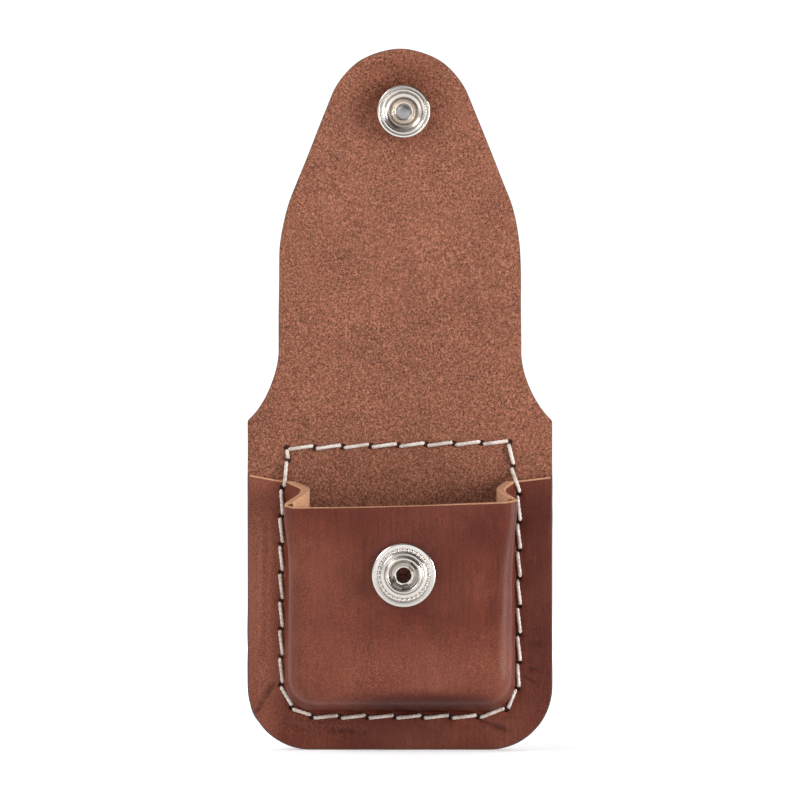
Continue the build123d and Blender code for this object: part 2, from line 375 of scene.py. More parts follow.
def cut_sides(obj, flesh, grain, edge):
    """Flesh side in front, grain behind and dyed edges between them."""
    for material in (flesh, grain, edge):
        obj.data.materials.append(material)
    for face in obj.data.polygons:
        face.material_index = 0 if face.normal.y < -0.75 else 1 if face.normal.y > 0.75 else 2


def pattern_place(tree, stretch=(1, 1, 1), shift=(0, 0, 0)):
    """Place on the piece in millimetres, stretched and shifted for a pattern."""
    flat = node(tree, "Attribute", attribute_name="flat").outputs["Vector"]
    return node(tree, "Mapping", {"Vector": flat, "Scale": stretch, "Location": shift}).outputs["Vector"]


def patch(tree, x, z, half_x, half_z):
    """One in the middle of an oval on the piece, fading to nothing at its edge."""
    place = pattern_place(tree, (1 / half_x, 0, 1 / half_z), (-x / half_x, 0, -z / half_z))
    return node(tree, "TexGradient", {"Vector": place}, gradient_type="SPHERICAL").outputs["Fac"]


def scaled(tree, value, share):
    """A value times a number or another value."""
    return node(tree, "Math", {0: value, 1: share}, operation="MULTIPLY").outputs["Value"]


def grains(tree, place, per_mm, detail=4, roughness=0.6):
    """Uneven grains, so many to the millimetre."""
    inputs = {"Vector": place, "Scale": per_mm, "Detail": detail, "Roughness": roughness}
    return node(tree, "TexNoise", inputs).outputs["Fac"]


def mixed(tree, blend, share, a, b):
    """Two colours mixed; share and both colours may be values or sockets."""
    new = node(tree, "Mix", data_type="RGBA", blend_type=blend)
    for socket, value in zip((new.inputs[0], new.inputs[6], new.inputs[7]), (share, a, b)):
        if isinstance(value, bpy.types.NodeSocket):
            tree.links.new(value, socket)
        else:
            socket.default_value = (*value, 1) if isinstance(value, tuple) else value
    return new.outputs[2]


def bumped(tree, surface, height, depth_mm, strength=1.0, below=None):
    """Fine relief on a surface, over the relief below it if there is one."""
    inputs = {"Height": height, "Distance": depth_mm * MM, "Strength": strength}
    if below:
        inputs["Normal"] = below
    normal = node(tree, "Bump", inputs).outputs["Normal"]
    tree.links.new(normal, surface.inputs["Normal"])
    return normal


flesh, tree, surface = shader("flesh_side")
place = pattern_place(tree)
fluff = grains(tree, place, 2.1, 6, 0.78)
specks = grains(tree, place, 4.6, 3, 0.6)
patches = grains(tree, place, 0.09, 3)
nap_and_painted_shade = ramp(
    tree, fluff,
    (0.34, (0.105, 0.036, 0.020)), (0.45, (0.215, 0.082, 0.048)), (0.54, (0.310, 0.122, 0.074)),
    (0.68, (0.490, 0.215, 0.135)),
)
nap_and_painted_shade = mixed(tree, "MULTIPLY", 0.9, nap_and_painted_shade, ramp(tree, specks, (0.36, 0.30), (0.52, 1.0), (0.68, 1.5)))
nap_and_painted_shade = mixed(tree, "MULTIPLY", 1.0, nap_and_painted_shade, ramp(tree, patches, (0.3, 0.92), (0.7, 1.12)))
# Painted shade: the flesh side is darkened in an oval round the pocket's mouth, where it runs in behind the
# pocket.
deep = patch(tree, 0, 51, 26, 9)
nap_and_painted_shade = mixed(tree, "MULTIPLY", scaled(tree, deep, 0.3), nap_and_painted_shade, (0.80, 0.66, 0.55))
# Darker in an oval round the socket, centred a little above it.
darker_round_socket = patch(tree, 0.5, 123.2, 11, 11)
nap_and_painted_shade = mixed(tree, "MULTIPLY", scaled(tree, darker_round_socket, 1.5), nap_and_painted_shade, (0.62, 0.52, 0.46))
tree.links.new(nap_and_painted_shade, surface.inputs["Base Color"])
surface.inputs["Roughness"].default_value = 0.95
surface.inputs["Specular IOR Level"].default_value = 0.2
rough = bumped(tree, surface, fluff, 0.35, 0.8)
bumped(tree, surface, specks, 0.12, 0.6, rough)

GRAIN_DARK, GRAIN_MID = (0.087, 0.014, 0.006), (0.128, 0.027, 0.013)
GRAIN_LIGHT = (0.180, 0.050, 0.028)
# A worn tan, also used to paint light onto a flange that faces the light.
WORN_AND_LIT = (0.34, 0.115, 0.068)


def grain_leather(name, streaks, rubbed_and_lit_at=(), dark_at=(), cracked_at=()):
    """Smooth dyed grain: rubbed streaks, cloudy dye, fine pores and a waxed sheen. Lighter and darker ovals:
    (x, z, half width, half height, share); some lighter ones are rubbed wear and some are painted light, some
    darker ones are painted shade, and the piece says which. Crackled ovals have no share. Creases are darker,
    partly as dye and partly as painted shade, and the stitch holes are ringed with painted shade."""
    material, tree, surface = shader(name)
    place = pattern_place(tree)
    streaky = grains(tree, pattern_place(tree, streaks), 1.0, 5, 0.6)
    cloudy = grains(tree, place, 0.07, 5, 0.55)
    pores = node(tree, "TexVoronoi", {"Vector": place, "Scale": 3.4}).outputs["Distance"]
    fine = grains(tree, place, 4.2, 4, 0.65)
    dye_and_painted_light = ramp(tree, cloudy, (0.2, GRAIN_DARK), (0.5, GRAIN_MID), (0.8, GRAIN_LIGHT))
    dye_and_painted_light = mixed(tree, "MULTIPLY", 0.6, dye_and_painted_light, ramp(tree, streaky, (0.3, 0.68), (0.7, 1.34)))
    # Lighter ovals: rubbed wear, and painted light where a piece lists it.
    for *oval, share in rubbed_and_lit_at:
        grainy = scaled(tree, scaled(tree, patch(tree, *oval), share), fine)
        dye_and_painted_light = mixed(tree, "MIX", scaled(tree, grainy, 2.0), dye_and_painted_light, WORN_AND_LIT)
    # Darker ovals, some of them painted shade.
    for *oval, share in dark_at:
        dye_and_painted_light = mixed(tree, "MULTIPLY", scaled(tree, patch(tree, *oval), share), dye_and_painted_light, (0.62, 0.44, 0.36))
    cells = node(tree, "TexVoronoi", {"Vector": place, "Scale": 0.95}, feature="DISTANCE_TO_EDGE")
    lines = ramp(tree, cells.outputs["Distance"], (0.0, 0.6), (0.10, 0.0))
    cracked = mixed(tree, "MULTIPLY", 1.0, lines, ramp(tree, fine, (0.42, 0.0), (0.6, 1.0)))
    for oval in cracked_at:
        dye_and_painted_light = mixed(tree, "MIX", mixed(tree, "MULTIPLY", 1.0, cracked, patch(tree, *oval)), dye_and_painted_light, WORN_AND_LIT)
    # Creases are darker, partly as dye and partly as painted shade; round the stitch holes the darkening is
    # painted shade.
    shade_in_creases_and_holes = node(tree, "Attribute", attribute_name="crease_and_hole_shade").outputs["Fac"]
    dye_and_painted_light = mixed(tree, "MULTIPLY", ramp(tree, shade_in_creases_and_holes, (0.3, 0.0), (1.0, 0.85)), dye_and_painted_light, (0.42, 0.31, 0.27))
    dye_and_painted_light = mixed(tree, "MULTIPLY", 0.85, dye_and_painted_light, ramp(tree, fine, (0.32, 0.6), (0.5, 1.0), (0.68, 1.4)))
    tree.links.new(dye_and_painted_light, surface.inputs["Base Color"])
    tree.links.new(ramp(tree, streaky, (0.3, 0.36), (0.75, 0.48)), surface.inputs["Roughness"])
    surface.inputs["Specular IOR Level"].default_value = 0.24
    skin = bumped(tree, surface, fine, 0.05, 0.6)
    bumped(tree, surface, pores, 0.05, 0.5, skin)
    return material


grain = grain_leather("grain_side", (1.6, 1.6, 0.18))

edge, tree, surface = shader("dyed_edge")
layers = grains(tree, pattern_place(tree, (0.6, 5, 0.6)), 1.0, 4, 0.7)
edge_dye = ramp(tree, layers, (0.3, (0.020, 0.009, 0.007)), (0.75, (0.085, 0.035, 0.022)))
tree.links.new(edge_dye, surface.inputs["Base Color"])
surface.inputs["Roughness"].default_value = 0.5
bumped(tree, surface, layers, 0.08, 0.6)

hide_back = hide_stretch("hide_back")
trimmed(hide_back, MID_CROWN + BELT_Z, keep_above=False)
drilled(hide_back, HOLES, HOLE_R, -9, -HIDE + 0.75)
drilled(hide_back, HOLES, HOLE_R, -0.75, 9)
sliced(hide_back, 0, steps(-28, 28, 0.8))
sliced(hide_back, 2, steps(1, MID_CROWN + BELT_Z - 1, 0.8))
waved(hide_back, pull=True)
cut_sides(hide_back, flesh, grain, edge)
finished(hide_back)
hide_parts("back_panel", "flap_crown")
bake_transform(hide_back)

SNAP_X, STUD_Z, SOCKET_Z = 0.7, 33.4, 121.0
POST_R = 1.5

hide_flap = hide_stretch("hide_flap")
trimmed(hide_flap, MID_CROWN + BELT_Z, keep_above=True)
drilled(hide_flap, [(SNAP_X, SOCKET_Z)], POST_R, -9, 9)
sliced(hide_flap, 0, steps(-22, 22, 1.6))
sliced(hide_flap, 2, steps(FRONT_FOLD + BELT_Z - 6, FRONT_FOLD + BELT_Z + 6, 0.8))
sliced(hide_flap, 2, steps(FRONT_FOLD + BELT_Z + 7, TIP_Z - 1, 1.6))
waved(hide_flap, pull=False)
cut_sides(hide_flap, flesh, grain, edge)
finished(hide_flap)
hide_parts("flap_tongue")
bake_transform(hide_flap)

# ---------------------------------------------------------------- pocket
# The pocket is a second piece of the same hide, grain side out, wetted and moulded over a block. A flange
# stays flat round it for the seam. Its sides have slackened, so they fold inwards at the open mouth, whose
# edge is left as cut.

SKIN = 1.7
STUD_HOLE_R = 1.68
FLANGE_Y = -HIDE
FACE_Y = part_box("pocket_front")[0][1] / MM
SEAM_HALF, SEAM_FOOT, SEAM_R = 22.5, 6.75, 6.2
WALL_HALF, WALL_FOOT, WALL_R = 21.1, 8.9, 5.2  # the pocket's walls, where the edge of its face begins
ROOT_R, EDGE_R = 0.7, 3.4
SIDE_ROWS, CORNER_ROWS, FOOT_ROWS = 128, 22, 104
GUSSET_FOLD = {-1: 2.9, 1: 1.6}  # how far each side folds in at the mouth


def blended(t, a, b):
    return tuple(p + t * (q - p) for p, q in zip(a, b))


def stations():
    """Sections of the pocket from the flange's edge to the middle of the face, each a U in front view:
    (half width, foot, corner radius, y)."""
    outer = FLANGE_Y - SKIN
    across = [0, 0.035] + [i / 18 for i in range(1, 18)]
    flange_edge, seam = (HALF_WIDTH, 0, BOTTOM_R, outer), (SEAM_HALF, SEAM_FOOT, SEAM_R, outer)
    found = [blended(t, flange_edge, seam) for t in across]
    for i in range(6):
        turn = math.radians(18 * i)
        sunk = ROOT_R * math.sin(turn)
        lift = ROOT_R * (1 - math.cos(turn))
        found.append((SEAM_HALF - sunk, SEAM_FOOT + sunk, SEAM_R - sunk, outer - lift))
    foot_of_wall, top_of_wall = found[-1], (WALL_HALF, WALL_FOOT, WALL_R, FACE_Y + EDGE_R)
    found += [blended(i / 14, foot_of_wall, top_of_wall) for i in range(1, 14)]
    for i in range(10):
        turn = math.radians(10 * i)
        back = 1 - math.cos(turn)
        y = FACE_Y + EDGE_R * (1 - math.sin(turn))
        found.append((WALL_HALF - EDGE_R * back, WALL_FOOT + 3.9 * back, WALL_R - 2.4 * back, y))
    rim_of_face = found[-1]
    found += [blended(i / 14, rim_of_face, (0, 31.0, 0, FACE_Y)) for i in range(1, 15)]
    return found


def rim_height(x, y, half):
    """Height of the cut top edge: up on the flange, level to the fold in the side, then down to the face."""
    rise = 1.2 if x < 0 else 0.8
    if half >= SEAM_HALF:
        return 51.0 + rise * (half - SEAM_HALF) / (HALF_WIDTH - SEAM_HALF)
    depth = (y - FLANGE_Y + SKIN) / (FACE_Y - FLANGE_Y + SKIN)
    if depth > 0.99:
        return 46.4 + 0.55 * x / 20 + 0.3 * (x / 20) ** 2
    corner = 46.2 if x < 0 else 47.2
    return 51.0 - 1.4 * min(depth / 0.5, 1) + (corner - 49.6) * max(depth / 0.5 - 1, 0)


def pocket_point(row, station):
    """A corner of the pocket's outer surface, before it slackens."""
    half, foot, radius, y = station
    height = foot + radius
    if row <= SIDE_ROWS or row >= SIDE_ROWS + 2 * CORNER_ROWS + FOOT_ROWS:
        side = -1 if row <= SIDE_ROWS else 1
        from_top = row if side < 0 else SIDE_ROWS * 2 + 2 * CORNER_ROWS + FOOT_ROWS - row
        down = from_top / SIDE_ROWS
        top = rim_height(side * half, y, half)
        return side * half, y, top + (height - top) * down
    row -= SIDE_ROWS
    if row <= CORNER_ROWS:
        turn = math.radians(180 + 90 * row / CORNER_ROWS)
        return -half + radius + radius * math.cos(turn), y, height + radius * math.sin(turn)
    row -= CORNER_ROWS
    if row <= FOOT_ROWS:
        return (half - radius) * (2 * row / FOOT_ROWS - 1), y, foot
    turn = math.radians(270 + 90 * (row - FOOT_ROWS) / CORNER_ROWS)
    return half - radius + radius * math.cos(turn), y, height + radius * math.sin(turn)


def eased(t):
    """From 0 to 1 with a soft start and a soft end."""
    t = min(max(t, 0), 1)
    return t * t * (3 - 2 * t)


# Creases in the flange: (x, z) of both ends, depth and width.
CREASES = [
    ((-23.7, 12.6), (-27.5, 6.8), 0.30, 0.5), ((-24.6, 12.2), (-26.6, 9.2), 0.16, 0.5),
    ((15.2, 5.6), (20.0, 3.9), 0.28, 0.5), ((-13.0, 3.8), (-8.9, 3.7), 0.20, 0.4),
    ((24.1, 15.6), (25.9, 15.1), 0.20, 0.4), ((23.4, 14.1), (25.5, 12.7), 0.22, 0.4),
    ((-25.6, 18.0), (-25.2, 44.0), 0.12, 0.5), ((-26.9, 22.0), (-26.7, 40.0), 0.09, 0.5),
    ((24.2, 20.6), (26.3, 20.2), 0.14, 0.4), ((-20.5, 5.0), (-17.5, 3.6), 0.16, 0.5),
    ((4.0, 4.6), (6.5, 3.4), 0.14, 0.5),
]


def crease_depth(x, z):
    """How far the flange is drawn in along its creases."""
    depth = 0
    for (ax, az), (bx, bz), deep, width in CREASES:
        if min(ax, bx) - 2 < x < max(ax, bx) + 2 and min(az, bz) - 2 < z < max(az, bz) + 2:
            run = (bx - ax) ** 2 + (bz - az) ** 2
            t = min(max(((x - ax) * (bx - ax) + (z - az) * (bz - az)) / run, 0), 1)
            wander = 0.35 * noise.noise(Vector((x / 1.5, 2, z / 1.5)))
            beside = math.hypot(x - ax - t * (bx - ax), z - az - t * (bz - az)) + wander
            depth = max(depth, deep * math.exp(-((beside / width) ** 2)))
    return depth


def slackened(x, y, z):
    """The sides fold inwards near the mouth and spread its corners, and all of it is a little uneven."""
    depth = (y - FLANGE_Y + SKIN) / (FACE_Y - FLANGE_Y + SKIN)
    loose = eased((z - 16) / 32)
    side = 1 if x > 0 else -1
    far = abs(x)
    if depth > 0 and far > 8:
        peak = max(0, 1.02 - math.sqrt(((depth - 0.48) / 0.5) ** 2 + 0.012))
        spread = 0.9 * eased((depth - 0.6) / 0.25) * min(1, (far - 8) / 10)
        at_corner = math.exp(-(((depth - 0.95) / 0.1) ** 2)) * max(0, min(1, (far - 13) / 5))
        corner = 1.2 * eased((z - 32) / 14) * at_corner
        x += side * loose * (spread + corner)
        x -= side * GUSSET_FOLD[side] * loose * peak * max(0, min(1, (far - 16) / 4))
    across = 1 - (x / 24) ** 2
    y += depth * (0.9 - 0.9 * across) * loose
    near_stud = math.hypot(x - SNAP_X, z - STUD_Z)
    calm = eased((near_stud - 5) / 8)
    y -= 0.28 * calm * depth * noise.noise(Vector((x / 11, 5, z / 11)))
    y += 0.22 * depth * math.exp(-(((near_stud - 6.4) / 1.0) ** 2))
    if depth <= 0:
        y += hole_depth(x, z) + crease_depth(x, z) - 0.16 * noise.noise(Vector((x / 5, 1, z / 7)))
        y -= 0.10 * math.exp(-(((z - 4.6) / 1.4) ** 2)) * noise.noise(Vector((x / 0.9, 6, z / 3)))
    return x, y, z


STATIONS = stations()
ROWS = 2 * SIDE_ROWS + 2 * CORNER_ROWS + FOOT_ROWS
bpy.ops.object.select_all(action="DESELECT")
bpy.ops.mesh.primitive_grid_add(x_subdivisions=ROWS, y_subdivisions=len(STATIONS) - 1, size=2)
pocket = bpy.context.object
pocket.name = "moulded_pocket"
for vertex in pocket.data.vertices:
    row = round((vertex.co.x + 1) / 2 * ROWS)
    station = round((vertex.co.y + 1) / 2 * (len(STATIONS) - 1))
    vertex.co = slackened(*pocket_point(row, STATIONS[station]))
# Darkening for the shader: along the flange's creases, partly dye and partly painted shade, and round the
# stitch holes, painted shade.
crease_and_hole_shade = pocket.data.attributes.new("crease_and_hole_shade", "FLOAT", "POINT")
for i, vertex in enumerate(pocket.data.vertices):
    x, y, z = vertex.co
    if y > FLANGE_Y - SKIN - 0.8:
        crease_and_hole_shade.data[i].value = max(crease_depth(x, z) / 0.25, 2.6 * hole_depth(x, z))
at_rim = [i for i in range(len(pocket.data.vertices)) if i % (ROWS + 1) in (0, ROWS) or i <= ROWS]
rim = pocket.vertex_groups.new(name="rim")
rim.add(at_rim, 1, "REPLACE")
in_edit_mode(pocket, lambda f: True)
bpy.ops.mesh.remove_doubles(threshold=0.02)
bpy.ops.mesh.normals_make_consistent(inside=False)
bpy.ops.object.mode_set(mode="OBJECT")

pocket_grain = grain_leather(
    "pocket_grain", (1.7, 1.7, 0.2),
    # Painted light: the oval at x -27 lightens the whole left flange, as light from the left would.
    rubbed_and_lit_at=[(-2, 17, 30, 9, 0.3), (-15, 31, 9, 15, 0.25), (-27, 28, 6, 40, 0.9)],
    # Painted shade: the two ovals low at z 9 darken the rounded bottom edge above the seam, and the tall one
    # at x 27 darkens the right flange as a painted shadow of the pocket.
    dark_at=[
        (15, 41, 16, 14, 0.6), (0, 46, 200, 7, 0.4), (4, 9.0, 20, 3.2, 1.8), (5, 8.8, 16, 2.8, 1.8),
        (27, 30, 7, 60, 0.6), (0, 28, 16, 20, 0.8),
    ],
    cracked_at=[(-4, 15, 18, 7), (16, 17, 9, 8), (-14, 6, 14, 6)],
)
cut_edge, tree, surface = shader("natural_cut_edge")
fibres = grains(tree, pattern_place(tree, (3.5, 3.5, 3.5)), 1.0, 5, 0.7)
tree.links.new(
    ramp(tree, fibres, (0.3, (0.33, 0.135, 0.060)), (0.7, (0.72, 0.40, 0.235))), surface.inputs["Base Color"]
)
surface.inputs["Roughness"].default_value = 0.85
bumped(tree, surface, fibres, 0.10, 0.8)
for material in (pocket_grain, flesh, cut_edge, edge):
    pocket.data.materials.append(material)
FLESH, CUT, DYED = 1, 2, 3

# The cut rim is rubbed off at a slant, which shows a thin line of undyed leather at the mouth and of dark
# edge dye round the flange. Near the mouth the gussets' inner faces take the light cut-edge colour: partly
# undyed leather, and partly painted light on faces that lie in shade.
RUBBED_OFF = 0.28
on_rim = {v.index: v.normal.copy() for v in pocket.data.vertices if v.groups}
applied(
    pocket, "SOLIDIFY", thickness=SKIN, offset=-1, use_rim=True, material_offset=FLESH,
    material_offset_rim=CUT,
)
for index, normal in on_rim.items():
    pocket.data.vertices[index].co -= normal * RUBBED_OFF
for face in pocket.data.polygons:
    if face.material_index == 0 and any(index in on_rim for index in face.vertices):
        face.material_index = CUT
for face in pocket.data.polygons:
    x, y, z = face.center
    if face.material_index >= CUT:
        on_flange = (z < 49 or abs(x) > HALF_WIDTH - 0.3) and y > FLANGE_Y - SKIN - 0.3
        face.material_index = DYED if on_flange else CUT
    # Painted light, in part: the gussets' inner faces near the mouth get the light cut-edge colour although
    # they lie in shade.
    elif face.material_index == FLESH and abs(x) > 17 and y < -8.5 and z > 44.5:
        face.material_index = CUT
drilled(pocket, [h for h in HOLES if h[1] < FLANGE_TOP], HOLE_R, -9, -HIDE - 0.4)
drilled(pocket, [(SNAP_X, STUD_Z)], STUD_HOLE_R, -30, -9)
finished(pocket)
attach(pocket, "case")
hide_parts("pocket_front")

# ---------------------------------------------------------------- belt loop
# A strap of the same leather on the back, grain side out. Its ends lie flat under the top and bottom rows
# of the seam, and between them it stands off far enough for a belt.

STRAP_HALF, STRAP_TOP, STRAP_BOTTOM = 18.1, 61.6, 2.8
STRAP_TAB, STRAP_RISE, BELT_GAP = 7.0, 6.0, 4.9


def stand_off(z):
    """Distance of the strap's inner face from the back."""
    end = min(STRAP_TOP - z, z - STRAP_BOTTOM)
    return BELT_GAP * eased((end - STRAP_TAB) / STRAP_RISE)


def strap_path():
    """Points down the strap's inner face: (length so far, y, z, direction)."""
    heights = steps(STRAP_BOTTOM, STRAP_TOP, 0.2)[::-1]
    path, length = [], 0
    for z, after in zip(heights, heights[1:] + [heights[-1] - 0.2]):
        along = Vector((0, stand_off(after) - stand_off(z), after - z))
        path.append((length, stand_off(z), z, along.normalized()))
        length += along.length
    return path


PATH = strap_path()
STRAP_LENGTH = PATH[-1][0]
corners = [(STRAP_HALF, 0), (STRAP_HALF, STRAP_LENGTH), (-STRAP_HALF, STRAP_LENGTH), (-STRAP_HALF, 0)]
belt_loop = flat_piece("belt_loop_strap", [(corner, 3.0) for corner in corners], 0)
in_edit_mode(belt_loop, lambda f: True)
bpy.ops.mesh.extrude_region_move(TRANSFORM_OT_translate={"value": (0, HIDE, 0)})
bpy.ops.mesh.select_all(action="SELECT")
bpy.ops.mesh.normals_make_consistent(inside=False)
bpy.ops.object.mode_set(mode="OBJECT")
applied(belt_loop, "BEVEL", width=0.42, segments=3, limit_method="ANGLE", angle_limit=math.radians(60))
on_tab = [h for h in HOLES if abs(h[0]) < STRAP_HALF and (h[1] > 50 or h[1] < 12)]
flat_height = [(x, z - STRAP_BOTTOM if z < 30 else STRAP_LENGTH - (STRAP_TOP - z)) for x, z in on_tab]
drilled(belt_loop, flat_height, HOLE_R, 0.5, 9)
sliced(belt_loop, 2, steps(0.7, STRAP_LENGTH - 0.7, 0.7))
sliced(belt_loop, 0, steps(-17.3, 17.3, 0.9))
cut_sides(belt_loop, flesh, grain, edge)
for vertex in belt_loop.data.vertices:
    x, thickness, up = vertex.co
    down = STRAP_LENGTH - up
    step = min(max(int(down / STRAP_LENGTH * (len(PATH) - 1)), 0), len(PATH) - 1)
    while step < len(PATH) - 1 and PATH[step + 1][0] < down:
        step += 1
    while step > 0 and PATH[step][0] > down:
        step -= 1
    length, y, z, along = PATH[step]
    outward = Vector((0, -along.z, along.y))
    place = Vector((x, y, z)) + along * (down - length) + outward * thickness
    arch = eased(stand_off(place.z) / BELT_GAP)
    uneven = 0.25 * noise.noise(Vector((x / 13, 8, place.z / 13)))
    place.y += arch * (0.35 * (1 - (x / STRAP_HALF) ** 2) + uneven)
    if thickness > HIDE / 2 and arch < 0.05:
        place.y -= hole_depth(place.x, place.z)
    vertex.co = place
finished(belt_loop)
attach(belt_loop, "case")
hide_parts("belt_loop")

# ---------------------------------------------------------------- seam
# One closed lockstitch seam of off-white waxed thread, three plies twisted together, sewn by machine. The
# needle thread lies on the front and the bobbin thread behind, and they lock inside the leather.

PLY_R, TWIST_R, TWIST_LENGTH = 0.21, 0.17, 2.6
SLANT = math.radians(7)
INTO_HOLE = 0.84  # the thread's middle turns down this far from a hole's middle
THREAD_LIFT = 0.24


def front_level(x, z):
    """Y of the front surface that the thread lies on: the pocket's flange, or the hide above it."""
    return -HIDE - SKIN * eased((FLANGE_TOP + 0.9 - z) / 0.8)


def back_level(x, z):
    """Y of the back surface that the thread lies on: the strap's sewn ends, or the hide beside them."""
    at_tab = z > STRAP_TOP - STRAP_TAB or z < STRAP_BOTTOM + STRAP_TAB
    return HIDE * eased((STRAP_HALF + 0.8 - abs(x)) / 0.8) if at_tab else 0


def stitch_line(a, b, level, out, count=30):
    """Middle of one stitch: up out of its first hole, along the leather and down into the next."""
    start, stop = Vector(a), Vector(b)
    middle, along = (start + stop) / 2, stop - start
    turn = SLANT if along.length > 3.5 else 0
    cos, sin = math.cos(turn), math.sin(turn)
    along = Vector((along.x * cos - along.y * sin, along.x * sin + along.y * cos))
    way = along.normalized()
    half_run, leg = along.length / 2 - INTO_HOLE, 1.15
    line = []
    for i in range(count + 1):
        gone = (2 * i / count - 1) * (half_run + leg)
        over = abs(gone) - half_run
        bend = min(max(over / 0.5, 0), 1)
        sunk = 0.3 * bend * bend + max(0, over - 0.5)
        sideways = (half_run + 0.3 * math.sin(bend * math.pi / 2) if over > 0 else abs(gone))
        x, z = middle + way * math.copysign(sideways, gone)
        arch = 0.10 * max(0, 1 - (gone / half_run) ** 2)
        line.append(Vector((x, level(x, z) + out * (THREAD_LIFT + arch - sunk), z)))
    return line


def sewn(name, level, out):
    """Every stitch on one side of the seam, as twisted plies."""
    curve = bpy.data.curves.new(name, "CURVE")
    curve.dimensions = "3D"
    curve.bevel_depth = PLY_R
    curve.bevel_resolution = 1
    for number, hole in enumerate(HOLES):
        line = stitch_line(HOLES[number - 1], hole, level, out)
        for ply in range(3):
            spline = curve.splines.new("POLY")
            spline.points.add(len(line) - 1)
            length = 0
            for i, point in enumerate(line):
                before, after = line[max(i - 1, 0)], line[min(i + 1, len(line) - 1)]
                along = (after - before).normalized()
                length += (point - before).length
                side = along.cross(Vector((0, 1, 0))).normalized()
                lifted = side.cross(along)
                turn = 2 * math.pi * (length / TWIST_LENGTH + ply / 3) + number
                place = point + TWIST_R * (side * math.cos(turn) + lifted * math.sin(turn))
                spline.points[i].co = (*place, 1)
    obj = bpy.data.objects.new(name, curve)
    bpy.context.collection.objects.link(obj)
    select_only(obj)
    bpy.ops.object.convert(target="MESH")
    return bpy.context.object


waxed, tree, surface = shader("waxed_thread")
place = pattern_place(tree)
soiled = grains(tree, place, 0.5, 3)
fuzz = grains(tree, place, 9.0, 4, 0.7)
tone = ramp(tree, soiled, (0.3, (0.50, 0.40, 0.33)), (0.6, (0.78, 0.71, 0.65)))
tone = mixed(tree, "MULTIPLY", 0.5, tone, ramp(tree, fuzz, (0.3, 0.62), (0.6, 1.1)))
tree.links.new(tone, surface.inputs["Base Color"])
surface.inputs["Roughness"].default_value = 0.62
bumped(tree, surface, fuzz, 0.05, 0.7)

for name, node_name, level, out in (
    ("needle_stitches", "needle_thread", front_level, -1), ("bobbin_stitches", "bobbin_thread", back_level, 1)
):
    stitches = sewn(name, level, out)
    stitches.data.materials.append(waxed)
    finished(stitches, 60)
    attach(stitches, "case")
    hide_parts(node_name)

# ---------------------------------------------------------------- snap, socket half
# A ring-spring snap of nickel-plated brass, pressed from sheet. The socket sits on the flesh side of the
# tongue: a drawn cup, a split wire ring on its edge and a crimped ring over both. A domed cap lies on the
# grain side, and its hollow post comes through the leather and is rolled over in the middle of the cup.


def spun(name, section, z, face_y, out, turns=96):
    """A piece turned from its section: ((radius, height), rounding) round the closed outline, with
    heights measured outwards from a leather face."""
    bpy.ops.object.select_all(action="DESELECT")
    bpy.ops.mesh.primitive_circle_add(vertices=len(section), fill_type="NGON")
    obj = bpy.context.object
    obj.name = name
    places = [Vector((SNAP_X + radius, face_y + out * height, z)) for (radius, height), _ in section]
    for vertex, place in zip(obj.data.vertices, places):
        vertex.co = place
    for i, (_, rounding) in enumerate(section):
        if not rounding:
            continue
        before, after = places[i - 1], places[(i + 1) % len(places)]
        turn = (places[i] - before).angle(after - places[i])
        in_edit_mode(obj, lambda v: (v.co - places[i]).length < 0.0005, "VERT")
        bpy.ops.mesh.bevel(offset=rounding * math.tan(turn / 2), segments=4, affect="VERTICES")
        bpy.ops.object.mode_set(mode="OBJECT")
    in_edit_mode(obj, lambda f: True)
    bpy.ops.mesh.delete(type="ONLY_FACE")
    bpy.ops.mesh.select_all(action="SELECT")
    bpy.ops.mesh.spin(steps=turns, angle=2 * math.pi, center=(SNAP_X, face_y, z), axis=(0, 1, 0))
    bpy.ops.mesh.select_all(action="SELECT")
    bpy.ops.mesh.remove_doubles(threshold=0.001)
    bpy.ops.mesh.normals_make_consistent(inside=False)
    bpy.ops.object.mode_set(mode="OBJECT")
    return obj


def plated(name, colour, roughness):
    """Plated metal: bright, with soft dents from pressing and faint rubbing marks."""
    material, tree, surface = shader(name)
    place = pattern_place(tree)
    dents = grains(tree, place, 0.7, 2)
    rubs = grains(tree, pattern_place(tree, (9, 9, 2)), 1.0, 3, 0.7)
    tone = ramp(tree, rubs, (0.3, tuple(c * 0.86 for c in colour)), (0.65, colour))
    tree.links.new(tone, surface.inputs["Base Color"])
    dulled = ramp(tree, rubs, (0.3, roughness * 1.6), (0.7, roughness * 0.8))
    tree.links.new(dulled, surface.inputs["Roughness"])
    surface.inputs["Metallic"].default_value = 1.0
    bumped(tree, surface, dents, 0.02, 0.5)
    return material


nickel = plated("nickel_plate", (0.66, 0.62, 0.575), 0.16)
worn_post = plated("worn_post", (0.72, 0.62, 0.52), 0.2)
post_well = plated("post_well", (0.36, 0.35, 0.35), 0.32)
# Near-black metal: painted shade for the dark gaps in the eyelet's splits.
painted_split_shade = plated("split_painted_shade", (0.030, 0.026, 0.022), 0.6)
# Darker nickel: a painted shade crescent inside the stud.
painted_crescent_shade = plated("nickel_with_painted_shade", (0.30, 0.27, 0.24), 0.35)

